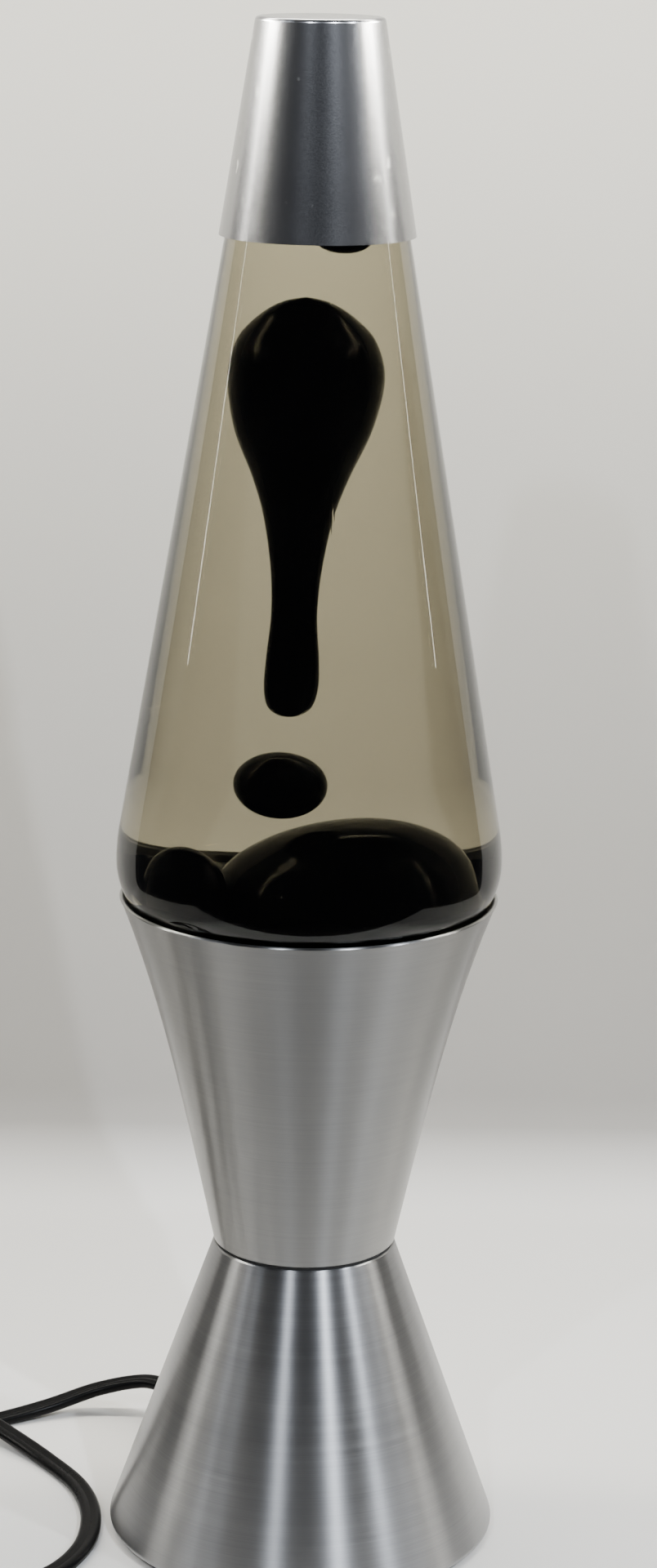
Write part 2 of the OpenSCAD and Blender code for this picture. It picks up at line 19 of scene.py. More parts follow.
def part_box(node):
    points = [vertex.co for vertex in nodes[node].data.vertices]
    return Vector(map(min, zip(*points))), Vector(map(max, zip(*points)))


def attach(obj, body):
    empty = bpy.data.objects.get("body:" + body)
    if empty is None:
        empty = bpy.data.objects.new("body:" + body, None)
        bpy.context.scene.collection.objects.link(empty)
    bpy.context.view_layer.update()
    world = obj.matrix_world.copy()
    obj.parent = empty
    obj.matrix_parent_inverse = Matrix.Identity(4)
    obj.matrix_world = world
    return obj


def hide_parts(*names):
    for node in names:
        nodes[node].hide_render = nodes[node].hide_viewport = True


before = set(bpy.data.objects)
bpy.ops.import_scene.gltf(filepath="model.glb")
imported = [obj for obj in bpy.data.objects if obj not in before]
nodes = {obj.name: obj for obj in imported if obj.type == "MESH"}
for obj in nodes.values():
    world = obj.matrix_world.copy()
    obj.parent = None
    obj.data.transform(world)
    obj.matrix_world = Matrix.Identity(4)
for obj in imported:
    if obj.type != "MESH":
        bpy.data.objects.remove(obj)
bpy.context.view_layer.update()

# %% [markdown]
# ## Where things are
#
# Places come from the frame's own boxes. The few lengths that a box can't give are the working
# model's own, and stand beside the piece that uses them. MM turns millimetres into the metres
# that Blender uses.

# %% Read the driving sizes
MM = 0.001
glass_low, glass_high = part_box("bottle_glass")
cap_low, cap_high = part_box("cap")
rim_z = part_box("upper_shell")[1].z
print("cap from", round(cap_low.z, 4), "to", round(cap_high.z, 4))
print("bottle", round(glass_low.z, 4), "to", round(glass_high.z, 4), "rim at", round(rim_z, 4))

# %% [markdown]
# ## The camera
#
# The lamp is seen from a little above, from about 0.85 m away, with a long lens. The camera
# is built from three turns: down by the pitch, a small yaw that puts the lamp left of the
# middle, and a slight roll.

# %% Place the camera
CAMERA_BACK = 0.843
CAMERA_UP = 0.409
PITCH = math.radians(14.58)
YAW = math.radians(-0.295)
ROLL = math.radians(0.86)
SENSOR_H = 36
LENS = 84.4
NEAREST = 0.01

lens = bpy.data.cameras.new("camera")
lens.sensor_fit = "VERTICAL"
lens.sensor_height = SENSOR_H
lens.lens = LENS
lens.clip_start = NEAREST
camera = bpy.data.objects.new("camera", lens)
bpy.context.scene.collection.objects.link(camera)
camera.matrix_world = (
    Matrix.Translation((0, -CAMERA_BACK, CAMERA_UP))
    @ Matrix.Rotation(YAW, 4, "Z")
    @ Matrix.Rotation(math.pi / 2 - PITCH, 4, "X")
    @ Matrix.Rotation(ROLL, 4, "Z")
)
bpy.context.scene.camera = camera
print("camera at", tuple(round(v, 3) for v in camera.location))

# %% [markdown]
# ## Small tools for meshes
#
# Nearly everything on this lamp is either turned about an axis or swept along a route. Both
# are rows of points joined into quads, so one function that skins rows makes them all.

# %% Skin rows of points
def link(name, mesh):
    """Puts a mesh in the scene as an object of the same name."""
    piece = bpy.data.objects.new(name, mesh)
    bpy.context.scene.collection.objects.link(piece)
    return piece


def skin(name, rows, closed=True, caps=True):
    """A mesh through rows of points that all have the same length."""
    mesh = bpy.data.meshes.new(name)
    build = bmesh.new()
    grid = [[build.verts.new(p) for p in row] for row in rows]
    width = len(rows[0])
    across = range(width if closed else width - 1)
    for low, high in zip(grid, grid[1:]):
        for k in across:
            n = (k + 1) % width
            build.faces.new((low[k], low[n], high[n], high[k]))
    if caps:
        build.faces.new(reversed(grid[0]))
        build.faces.new(grid[-1])
    bmesh.ops.recalc_face_normals(build, faces=build.faces)
    build.to_mesh(mesh)
    build.free()
    for face in mesh.polygons:
        face.use_smooth = True
    return link(name, mesh)


def arc(r, z, radius, start, end, steps):
    """Points on a round stretch of an outline, angles in degrees."""
    turns = [math.radians(start + (end - start) * i / steps) for i in range(steps + 1)]
    return [(r + radius * math.cos(a), z + radius * math.sin(a)) for a in turns]


def through(points, steps):
    """A smooth curve through every point, with a few steps between two of them."""
    points = [Vector(p) for p in points]
    last = len(points) - 1
    curve = []
    for i in range(last):
        a, b = points[max(i - 1, 0)], points[i]
        c, d = points[i + 1], points[min(i + 2, last)]
        for s in range(steps):
            t = s / steps
            curve.append(0.5 * (2 * b + (c - a) * t + (2 * a - 5 * b + 4 * c - d) * t * t
                                + (3 * b - a - 3 * c + d) * t ** 3))
    return curve + [points[-1]]


# %% [markdown]
# ## The cord
#
# A flat two-core cord is two round cores side by side, joined by a thin web that can be torn
# to split them. It leaves the back of the base through a ribbed strain relief, makes one
# loose loop on the table, crosses itself in a low hump, runs through the switch and ends in
# the plug. What isn't needed is wound into a round coil of two turns side by side and three
# high. The route is the same as the working model's, and the coil's turns are worked out.

# %% The route of the cord
CORD_W = 5.3 * MM
CORD_T = 2.8 * MM
coil_low, coil_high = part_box("cord_coil")
switch_low, switch_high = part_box("switch_lower")
plug_low, plug_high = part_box("plug_body")
print("coil", round((coil_high - coil_low).x, 4), "across")

# Where the cord passes the switch, the coil and the plug
LEAD_Z = 5.5 * MM
PLUG_Z = 6.5 * MM
switch_y = (switch_low.y + switch_high.y) / 2
switch_in = Vector((switch_high.x, switch_y, LEAD_Z))
switch_out = Vector((switch_low.x, switch_y, LEAD_Z))
coil_mid = (coil_low + coil_high) / 2
coil_out_r = (coil_high.x - coil_low.x) / 2
west = coil_low.x + CORD_W / 2
LAYERS = 3
layer_h = (coil_high.z - coil_low.z) / LAYERS
top_z = coil_high.z - CORD_T / 2
low_z = coil_low.z + layer_h / 2
plug_in = Vector((plug_low.x, (plug_low.y + plug_high.y) / 2, PLUG_Z))

# Points that the cord passes, in millimetres
TIP = Vector((-34.29, 54.87, 10.5)) * MM
LEAD = [(-42, 61, 9.5), (-54, 62.5, 6.5), (-67, 59, 3), (-80, 53, 1.5), (-97, 43, 1.5),
        (-111, 29, 1.5), (-120, 11, 1.5), (-120.5, -8, 1.5), (-113, -26, 1.5), (-98, -38.5, 1.5),
        (-79, -43, 1.5), (-62, -37, 1.5), (-53.5, -22, 1.5), (-52, -4, 1.5), (-56, 13, 1.5),
        (-65, 28, 1.6), (-76, 40, 3.4), (-87, 51, 4.9), (-98, 61, 5), (-108, 67, 5.2)]
LINK = [(-187, 62, 2.4), (-193, 50, 2)]
TAIL = [(-191, -11, 7.6), (-185, -24, 7.2), (-176, -32, 6.8)]
SWITCH_DROP = Vector((-8, 0, -1.5)) * MM
COIL_FOOT = [Vector((west, 34 * MM, 2 * MM)), Vector((west, 24 * MM, 2 * MM))]
COIL_TOP = [Vector((west, 20 * MM, top_z)), Vector((-194 * MM, 6 * MM, top_z))]
ROUTE_STEPS = 8
TURN_STEPS = 48
TURN_GAP = 0.2 * MM
EASE_FROM = 0.8


def metres(points):
    """The same points in metres."""
    return [Vector(p) * MM for p in points]


def winding():
    """The coil's turns, two side by side in each layer, with eased steps between them."""
    radius_out = coil_out_r - CORD_W / 2
    radius_in = radius_out - CORD_W - TURN_GAP
    order = [(radius_out, 0), (radius_in, 0), (radius_in, 1), (radius_out, 1),
             (radius_in, 2), (radius_out, 2)]
    points = []
    for turn, (radius, layer) in enumerate(order):
        after = order[min(turn + 1, len(order) - 1)]
        for s in range(TURN_STEPS):
            ease = max(0, (s / TURN_STEPS - EASE_FROM) / (1 - EASE_FROM))
            ease = ease * ease * (3 - 2 * ease)
            r = radius + (after[0] - radius) * ease
            z = low_z + (layer + (after[1] - layer) * ease) * layer_h
            a = math.pi + 2 * math.pi * s / TURN_STEPS
            points.append(Vector((coil_mid.x + r * math.cos(a), coil_mid.y + r * math.sin(a), z)))
    return points


lead = through([TIP] + metres(LEAD) + [switch_in], ROUTE_STEPS)
link_points = [switch_out, switch_out + SWITCH_DROP] + metres(LINK) + COIL_FOOT
tail = through(COIL_TOP + metres(TAIL) + [plug_in], ROUTE_STEPS)
route = lead + through(link_points, ROUTE_STEPS) + winding() + tail
cord_length = sum((b - a).length for a, b in zip(route, route[1:]))
print("cord", round(cord_length, 3), "m in", len(route), "rings")

# %% Sweep the cord's section along its route
CORE_R = CORD_T / 2
CORE_X = CORD_W / 2 - CORE_R


def cord_section():
    """Two round cores with a narrow groove between them, as pairs (across, up)."""
    half = [(CORE_X + x, z) for x, z in arc(0, 0, CORE_R, -140, 140, 7)]
    return half + [(-x, -z) for x, z in half]


def sweep(name, points, section):
    """A section carried along points, kept level from side to side."""
    rows = []
    for i, p in enumerate(points):
        ahead = (points[min(i + 1, len(points) - 1)] - points[max(i - 1, 0)]).normalized()
        across = Vector((-ahead.y, ahead.x, 0)).normalized()
        up = ahead.cross(across)
        rows.append([p + across * x + up * z for x, z in section])
    return skin(name, rows)


cord = sweep("mains_cord", route, cord_section())
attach(cord, "base")
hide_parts("cord_lead", "cord_link", "cord_tail", "cord_coil")

# %% [markdown]
# ## Shader maths as plain expressions
#
# Every finish below is a small tree of nodes. Writing the trees as Python expressions keeps
# them short: a Value wraps one socket, and adding or multiplying two of them adds the Math
# node that does it. A Finish owns one material and its Principled shader.

# %% Values and finishes
class Value:
    """One shader socket that can be used in an expression."""

    def __init__(self, finish, socket):
        self.finish = finish
        self.socket = socket

    def maths(self, operation, *others):
        """The Math node of one operation on this value and others."""
        return self.finish.node("ShaderNodeMath", {"operation": operation}, self, *others)

    def __add__(self, other):
        return self.maths("ADD", other)

    def __sub__(self, other):
        return self.maths("SUBTRACT", other)

    def __mul__(self, other):
        return self.maths("MULTIPLY", other)

    def __truediv__(self, other):
        return self.maths("DIVIDE", other)

    def __pow__(self, other):
        return self.maths("POWER", other)

    def __radd__(self, other):
        return self.finish.node("ShaderNodeMath", {"operation": "ADD"}, other, self)

    def __rsub__(self, other):
        return self.finish.node("ShaderNodeMath", {"operation": "SUBTRACT"}, other, self)

    def __rmul__(self, other):
        return self.finish.node("ShaderNodeMath", {"operation": "MULTIPLY"}, other, self)

    def clamped(self):
        """This value, held between 0 and 1."""
        return self.finish.node("ShaderNodeClamp", {}, self)

    def between(self, low, high):
        """0 below low, 1 above high, straight between them."""
        return ((self - low) / (high - low)).clamped()


class Finish:
    """One material, with the Principled shader's own numbers set on its sockets."""

    def __init__(self, name, **numbers):
        self.material = bpy.data.materials.new(name)
        self.material.use_nodes = True
        self.tree = self.material.node_tree
        self.shader = self.tree.nodes["Principled BSDF"]
        self.set(**numbers)
        if name in MADE:
            raise ValueError(name)
        MADE[name] = self

    def set(self, **sockets):
        """Sets the Principled shader's sockets, named with _ for a space."""
        for name, value in sockets.items():
            self.join(value, self.shader.inputs[name.replace("_", " ")])
        return self

    def join(self, value, socket):
        """Links a Value to a socket, or sets a plain number or colour on it."""
        if isinstance(value, Value):
            self.tree.links.new(value.socket, socket)
        else:
            socket.default_value = value

    def node(self, kind, settings, *inputs, **named):
        """A node of any kind: its settings first, then its inputs by order or by name."""
        made = self.tree.nodes.new(kind)
        output = settings.pop("output", 0)
        for name, value in settings.items():
            setattr(made, name, value)
        for k, value in enumerate(inputs):
            self.join(value, made.inputs[k])
        for name, value in named.items():
            self.join(value, made.inputs[name.replace("_", " ")])
        return Value(self, made.outputs[output])

    def place(self):
        """The point on the object, in metres."""
        return self.node("ShaderNodeTexCoord", {"output": 3})

    def up(self):
        """The height of the point, in metres."""
        return self.node("ShaderNodeSeparateXYZ", {"output": 2}, self.place())

    def aside(self):
        """How far the point is to either side of the axis, in metres."""
        across = self.node("ShaderNodeSeparateXYZ", {"output": 0}, self.place())
        return across.maths("ABSOLUTE")

    def ahead(self):
        """How far the point is in front of the axis, in metres."""
        return 0 - self.node("ShaderNodeSeparateXYZ", {"output": 1}, self.place())

    def off_plane(self, azimuth):
        """How far the point is from the upright plane at an azimuth from the front."""
        a = math.radians(azimuth)
        across = self.node("ShaderNodeVectorMath", {"operation": "DOT_PRODUCT", "output": 1},
                           self.place(), (math.cos(a), math.sin(a), 0))
        return across.maths("ABSOLUTE")

    def stretched(self, x, y, z):
        """The point with each of its directions scaled by itself."""
        return self.node("ShaderNodeVectorMath", {"operation": "MULTIPLY"}, self.place(), (x, y, z))

    def noise(self, vector, scale=1.0, detail=2.0, roughness=0.5):
        """A cloudy pattern, 0 to 1."""
        return self.node("ShaderNodeTexNoise", {}, Vector=vector, Scale=scale, Detail=detail,
                         Roughness=roughness)

    def mix(self, factor, low, high):
        """A colour between two, each a Value or three numbers."""
        low, high = [(*c, 1) if isinstance(c, tuple) else c for c in (low, high)]
        made = self.tree.nodes.new("ShaderNodeMix")
        made.data_type = "RGBA"
        for value, k in ((factor, 0), (low, 6), (high, 7)):
            self.join(value, made.inputs[k])
        return Value(self, made.outputs[2])

    def bump(self, height, strength, distance):
        """A surface direction tilted by a pattern of heights."""
        return self.node("ShaderNodeBump", {}, Height=height, Strength=strength, Distance=distance)


MADE = {}


def wear(finish, *pieces):
    """Gives pieces one finish in all their slots."""
    for piece in pieces:
        if not piece.data.materials:
            piece.data.materials.append(finish.material)
        for k in range(len(piece.data.materials)):
            piece.data.materials[k] = finish.material


# %% [markdown]
# ## Brushed aluminium
#
# The base's shells were spun on a lathe and then brushed while they turned, so fine scratches
# run round them. Scratches that run round spread a highlight up and down, and that makes the
# soft upright bands of brushed metal. Most of that comes from the shader's anisotropy. A noise
# that is stretched thin along the height adds the scratches themselves: to the colour, the
# roughness and a shallow bump.

# %% Brushed finishes
def brushed(name, colour, dark, rough):
    """Spun metal with scratches round the axis, between a dark tone and a light one."""
    metal = Finish(name, Metallic=1.0, Anisotropic=0.95, Anisotropic_Rotation=0.25)
    fine = metal.noise(metal.stretched(25, 25, 5200), detail=3.0)
    broad = metal.noise(metal.stretched(12, 12, 900), detail=2.0)
    smudge = metal.noise(metal.place(), scale=45.0, detail=3.0)
    scratch = fine * 0.7 + broad * 0.3
    metal.set(Base_Color=metal.mix(scratch, dark, colour),
              Roughness=rough + scratch * 0.12 + smudge * 0.08,
              Normal=metal.bump(scratch, 0.25, 0.00006))
    return metal


flare_metal = brushed("brushed_flare", (0.37, 0.365, 0.36), (0.27, 0.27, 0.27), 0.22)
cone_metal = brushed("brushed_cone", (0.42, 0.42, 0.43), (0.28, 0.28, 0.285), 0.21)
wear(flare_metal, nodes["upper_shell"])
wear(cone_metal, nodes["lower_shell"])
print("brushed", len(MADE))

# %% [markdown]
# ## The cap's satin metal
#
# The cap was blasted with fine beads before it was anodised. That leaves an even satin grain
# in every direction, so it has no scratches, only a fine pitted bump and a few small nicks
# where it was knocked.

# %% Satin cap
satin = Finish("satin_cap", Metallic=1.0)
grain = satin.noise(satin.place(), scale=3400.0, detail=2.0, roughness=0.6)
cloud = satin.noise(satin.place(), scale=60.0, detail=3.0)
nick = satin.noise(satin.stretched(420, 420, 260), detail=1.0).between(0.74, 0.78)
body = satin.mix(grain.between(0.3, 0.7), (0.25, 0.25, 0.26), (0.35, 0.35, 0.36))
satin.set(Base_Color=satin.mix(nick, body, (0.7, 0.7, 0.68)),
          Roughness=0.195 + grain * 0.05 + cloud * 0.03,
          Normal=satin.bump(grain + nick, 0.16, 0.00003))
wear(satin, nodes["cap"])

# %% [markdown]
# ## Glass, liquid and wax
#
# The bottle's clear wall and what fills it work as one lens: the filled bottle makes the wax
# look a third wider than it is and turns the room behind it over from side to side. For that
# to come out right the meshes have to be much finer than the working model's, so the bottle
# is turned again here from the same outline. The liquid's skin is set a hair inside the
# glass wall, which lets light pass from one to the other without a film of air between them.

# %% The bottle's outline
belly_r = glass_high.x
BELLY_UP = 8.8 * MM
belly_z = rim_z + BELLY_UP
SHOULDER_R, HAUNCH_R, HEEL_R = 43 * MM, 18 * MM, 4 * MM
HEEL_ANGLE = 27
COLLAR_R = 21.2 * MM
NECK_R = 13.2 * MM
NECK_UP, NECK_H = 18 * MM, 7 * MM
GLASS_T = 2.2 * MM
FLOOR_T = 3.2 * MM

heel = math.radians(HEEL_ANGLE)
heel_z = glass_low.z + HEEL_R
turn_r = belly_r - HAUNCH_R * (1 - math.cos(heel))
turn_z = belly_z - HAUNCH_R * math.sin(heel)
heel_x = turn_r + ((heel_z - turn_z) * math.sin(heel) - HEEL_R) / math.cos(heel)
centre_r = belly_r - SHOULDER_R
reach = math.hypot(COLLAR_R - centre_r, cap_low.z - belly_z)
taper = math.atan2(cap_low.z - belly_z, COLLAR_R - centre_r) - math.acos(SHOULDER_R / reach)
neck_z = cap_low.z + NECK_UP
neck_foot_r = COLLAR_R - math.tan(taper) * NECK_UP


def side(depth):
    """The bottle's side at a depth inside its outer face, from the foot to the neck."""
    curve = arc(heel_x, heel_z, HEEL_R - depth, -90, -HEEL_ANGLE, 12)
    curve += arc(belly_r - HAUNCH_R, belly_z, HAUNCH_R - depth, -HEEL_ANGLE, 0, 20)
    curve += arc(centre_r, belly_z, SHOULDER_R - depth, 0, math.degrees(taper), 16)[1:]
    steps = 16
    for i in range(steps + 1):
        sink = (neck_foot_r - NECK_R) * (1 - math.cos(math.pi * i / steps)) / 2
        curve.append((neck_foot_r - depth - sink, neck_z + NECK_H * i / steps))
    return curve


def evened(outline, longest=4 * MM):
    """The same outline with long straight stretches cut into shorter ones."""
    points = [outline[0]]
    for (r0, z0), (r1, z1) in zip(outline, outline[1:]):
        parts = max(1, round(math.hypot(r1 - r0, z1 - z0) / longest))
        points += [(r0 + (r1 - r0) * k / parts, z0 + (z1 - z0) * k / parts)
                   for k in range(1, parts + 1)]
    return points


ROUND = 160
ANGLES = [2 * math.pi * k / ROUND for k in range(ROUND)]


def turned(name, outline):
    """Turns an outline about the axis."""
    return skin(name, [[Vector((r * math.cos(a), r * math.sin(a), z)) for a in ANGLES]
                       for r, z in outline])


def crisp(piece, angle=35):
    """Keeps edges sharper than an angle from being shaded round."""
    mesh = piece.data
    build = bmesh.new()
    build.from_mesh(mesh)
    limit = math.radians(angle)
    for edge in build.edges:
        if len(edge.link_faces) == 2 and edge.calc_face_angle() > limit:
            edge.smooth = False
    build.to_mesh(mesh)
    build.free()
    return piece


TINY = 0.02 * MM
floor_z = glass_low.z + FLOOR_T
outer = evened(side(0))
inner = evened([(r, max(z, floor_z)) for r, z in side(GLASS_T)])
PUNT_UP = 1 * MM
EASED = 0.5 * MM
foot_outline = [(TINY, glass_low.z + PUNT_UP), (heel_x - 8 * MM, glass_low.z + PUNT_UP),
                (heel_x - 4 * MM, glass_low.z)]
mouth_outline = [(NECK_R, glass_high.z - EASED), (NECK_R - EASED, glass_high.z),
                 (NECK_R - GLASS_T + EASED, glass_high.z),
                 (NECK_R - GLASS_T, glass_high.z - EASED)]
glass_outline = foot_outline + outer + mouth_outline + inner[::-1] + [(TINY, floor_z)]

bottle = crisp(turned("clear_bottle", glass_outline))
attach(bottle, "bottle")
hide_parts("bottle_glass")
print("bottle", len(bottle.data.vertices), "points, taper", round(math.degrees(taper), 2))

# %% The liquid
OVERLAP = 0.08 * MM
LEVEL_UP = 4 * MM
level_z = cap_low.z + LEVEL_UP
liquid_outline = [(TINY, floor_z - OVERLAP)]
for r, z in inner:
    if z < level_z:
        liquid_outline.append((r + OVERLAP, max(z, floor_z - OVERLAP)))
edge_r = liquid_outline[-1][0] - math.tan(taper) * (level_z - liquid_outline[-1][1])
liquid_outline += [(edge_r, level_z + 0.9 * MM), (edge_r - 0.6 * MM, level_z + 0.4 * MM),
                   (edge_r - 2 * MM, level_z), (TINY, level_z)]
liquid = crisp(turned("liquid_fill", liquid_outline), 60)
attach(liquid, "bottle")
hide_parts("liquid")
print("liquid", len(liquid.data.vertices), "points")

# %% [markdown]
# ## The wax
#
# Warm wax swells, rises as a drop with a long tail, cools at the top and sinks again. What
# lies at the bottom is one mass: a level pool with a tall swell where the next drop is
# forming and a smaller one at the side. Each free blob is a round body whose centre line
# wanders a little, so it is skinned from rings along a smooth curve of four numbers:
# height, radius and the two sideways shifts.

# %% The free blobs
BLOB_ROUND = 64


def blob(name, rings, steps=6):
    """A round body from rings of (height, radius, shift x, shift y) in millimetres."""
    rows = []
    curve = []
    last = len(rings) - 1
    for i in range(last):
        a, b, c, d = [rings[max(0, min(last, k))] for k in (i - 1, i, i + 1, i + 2)]
        for s in range(steps):
            t = s / steps
            curve.append([0.5 * (2 * q + (r - p) * t + (2 * p - 5 * q + 4 * r - w) * t * t
                                 + (3 * q - p - 3 * r + w) * t ** 3)
                          for p, q, r, w in zip(a, b, c, d)])
    curve.append(list(rings[-1]))
    for z, r, x, y in curve:
        ring = []
        for k in range(BLOB_ROUND):
            a = 2 * math.pi * k / BLOB_ROUND
            lump = 1 + 0.02 * math.sin(2 * a + z * 0.09) + 0.012 * math.sin(3 * a - z * 0.05)
            reach_r = max(r, 0.02) * lump
            ring.append(Vector((x + reach_r * math.cos(a), y + reach_r * math.sin(a), z)) * MM)
        rows.append(ring)
    return skin(name, rows)


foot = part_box("wax_drop")[0].z / MM
DROP = [(0, 0, -3.9, 0), (0.5, 2.0, -3.9, 0), (2.5, 3.9, -3.8, 0), (7, 4.7, -3.6, 0),
        (14, 4.5, -3.4, 0), (24, 3.9, -3.2, 0), (35, 4.4, -2.9, 0), (47, 6.1, -2.6, 0),
        (56, 8.4, -2.3, 0), (67, 11.9, -2.0, 0), (78.5, 13.3, -1.6, 0), (87.5, 11.7, -1.6, 0),
        (93.3, 8.0, -1.7, 0), (96.7, 4.0, -1.8, 0), (97.9, 0, -1.8, 0)]
drop = blob("wax_rising_drop", [(foot + z, r, x, y) for z, r, x, y in DROP])
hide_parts("wax_drop")


def lens_rings(node, step, forward=0.0, sag=0.0):
    """Rings of a flattened ball that fills a node's box, moved to the front and down."""
    low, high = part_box(node)
    middle, half = (low + high) / 2 / MM, (high - low) / 2 / MM
    rings = []
    for degrees in range(0, 181, step):
        a = math.radians(degrees)
        rings.append((middle.z - sag - half.z * math.cos(a), half.x * math.sin(a),
                      middle.x, middle.y - forward))
    return rings


FILM_FORWARD, FILM_SAG = 9.0, 0.5
ball = blob("wax_ball", lens_rings("wax_bubble", 15), 4)
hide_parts("wax_bubble")
film = blob("wax_film_lens", lens_rings("wax_film", 20, FILM_FORWARD, FILM_SAG), 4)
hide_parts("wax_film")

# %% The mass that lies in the foot
POOL_UP = -1.5
LIP = 7.0
SKIN_GAP = 0.05
POOL_STEPS, POOL_RINGS = 20, 40
LIP_FROM = 0.82
pool_z = rim_z / MM + POOL_UP


def inner_at(z):
    """Radius of the glass's inner wall at a height, in millimetres."""
    for (r0, z0), (r1, z1) in zip(inner, inner[1:]):
        if z0 / MM <= z <= z1 / MM and z1 > z0:
            return (r0 + (r1 - r0) * (z - z0 / MM) / ((z1 - z0) / MM)) / MM
    return inner[-1][0] / MM


def lip_height(a):
    """How high the wax clings to the glass at an angle: most at the front."""
    front = 0.5 - 0.5 * math.sin(a)
    return LIP * front ** 1.5 * (1 + 0.08 * math.sin(7 * a) + 0.05 * math.sin(12 * a + 1))


def pooled(name):
    """The level pool, with a thin lip of wax that clings to the wall."""
    floor = floor_z / MM + SKIN_GAP
    least = TINY / MM

    def row(place):
        """One ring, with the radius and the height that place gives for each angle."""
        ring = []
        for a in ANGLES:
            r, z = place(a)
            ring.append(Vector((r * math.cos(a), r * math.sin(a), z)) * MM)
        return ring

    def on_wall(a, share):
        z = floor + (pool_z + lip_height(a) - floor) * share
        return inner_at(z) - SKIN_GAP, z

    def on_top(a, share):
        top = lip_height(a)
        r = max((inner_at(pool_z + top) - SKIN_GAP) * share, least)
        return r, pool_z + top * max(0, (share - LIP_FROM) / (1 - LIP_FROM)) ** 2

    rows = [row(lambda a: (least, floor))]
    rows += [row(lambda a: on_wall(a, i / POOL_STEPS)) for i in range(POOL_STEPS + 1)]
    rows += [row(lambda a: on_top(a, 1 - i / POOL_RINGS)) for i in range(1, POOL_RINGS + 1)]
    return skin(name, rows)


def swell(name, middle, spread, lean):
    """A rounded lobe of the mass, as far out and up from its middle as spread says."""
    rings = []
    for a in range(-90, 91, 6):
        up, out = math.sin(math.radians(a)), math.cos(math.radians(a))
        rings.append((middle[2] + spread[1] * up, spread[0] * out,
                      middle[0] + lean * max(0, up) ** 2, middle[1]))
    return blob(name, rings, 3)


mass = pooled("wax_pool")
mound = swell("wax_mound", (6.9, 0, pool_z), (23.4, 20.6), 2.4)
lobe = swell("wax_lobe", (-23.6, -8, pool_z + 4.5), (8.6, 10.5), 0)
for piece in (mass, mound, lobe):
    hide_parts("wax_mass")
wax_pieces = (drop, ball, film, mass, mound, lobe)
for piece in wax_pieces:
    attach(piece, "bottle")
print("wax pieces", len(wax_pieces))

# %% [markdown]
# ## How the bottle and its filling look
#
# Glass mirrors a little of the room at each face where it meets air. Where it meets the liquid
# almost nothing is mirrored, so the inner wall below the level and the liquid's skin have a
# very low mirror strength. A faint mould seam runs up the bottle. The wax is black and wet,
# and only just denser to light than the liquid round it.

# %% Clear glass, liquid and wax finishes
SEAM_AZIMUTH = 8
SEAM_WIDE = 0.35 * MM
WET_SHINE = 0.03


def bottle_finish(name, shine):
    """Clear glass. Where it is wet inside, hardly any light is mirrored back."""
    clear = Finish(name, Base_Color=(0.95, 0.965, 0.94, 1), Roughness=0.0, IOR=1.5,
                   Transmission_Weight=1.0, Specular_Tint=(shine, shine, shine, 1))
    swirl = clear.noise(clear.stretched(60, 60, 14), detail=2.0)
    seam = 1 - clear.off_plane(SEAM_AZIMUTH).between(0, SEAM_WIDE)
    clear.set(Normal=clear.bump(swirl + seam * 0.4, 0.1, 0.0002))
    return clear


wear(bottle_finish("clear_glass", 1.0), bottle)
bottle.data.materials.append(bottle_finish("clear_glass_wet", WET_SHINE).material)
for face in bottle.data.polygons:
    middle = face.center
    inward = middle.x * face.normal.x + middle.y * face.normal.y < 0 or face.normal.z > 0.9
    if inward and floor_z - MM < middle.z < level_z:
        face.material_index = 1

tint = Finish("straw_liquid", Roughness=0.0, IOR=1.36, Transmission_Weight=1.0,
              Specular_Tint=(WET_SHINE, WET_SHINE, WET_SHINE, 1))
haze = tint.noise(tint.stretched(25, 25, 18), detail=3.0)
tint.set(Base_Color=tint.mix(haze, (0.47, 0.41, 0.29), (0.52, 0.46, 0.335)))
wear(tint, liquid)

wax = Finish("black_wax", IOR=1.08)
marble = wax.noise(wax.place(), scale=90.0, detail=2.0)
wax.set(Base_Color=wax.mix(marble, (0.0015, 0.0015, 0.0015), (0.004, 0.0035, 0.003)),
        Roughness=0.03 + marble * 0.06,
        Normal=wax.bump(marble, 0.1, 0.0003))
wear(wax, *wax_pieces)

# %% [markdown]
# ## Moulded, rubber and plated pieces
#
# The small pieces share a few recipes. A moulded plastic has a fine spark-eroded grain and
# slightly uneven gloss. Plated or pressed metal has a faint cloudiness and drawn lines.
# Each recipe takes its colour and its gloss, and the moulded one also the size of its grain.

# %% Recipes for the small pieces
def moulded(name, colour, rough, grain_size=1800.0, depth=0.00004, **numbers):
    """Moulded plastic, rubber or paint."""
    made = Finish(name, **numbers)
    pits = made.noise(made.place(), scale=grain_size, detail=2.0)
    patches = made.noise(made.place(), scale=70.0, detail=3.0)
    lighter = tuple(min(1, c * 1.5 + 0.003) for c in colour)
    made.set(Base_Color=made.mix(patches, colour, lighter),
             Roughness=rough + patches * 0.12 + pits * 0.05,
             Normal=made.bump(pits, 0.3, depth))
    return made


def plated(name, colour, rough):
    """Plated, pressed or drawn metal."""
    made = Finish(name, Metallic=1.0)
    cloudy = made.noise(made.place(), scale=160.0, detail=4.0)
    lines = made.noise(made.stretched(300, 300, 3800), detail=2.0)
    darker = tuple(c * 0.75 for c in colour)
    made.set(Base_Color=made.mix(cloudy, darker, colour),
             Roughness=rough + cloudy * 0.15 + lines * 0.05,
             Normal=made.bump(lines, 0.15, 0.00003))
    return made


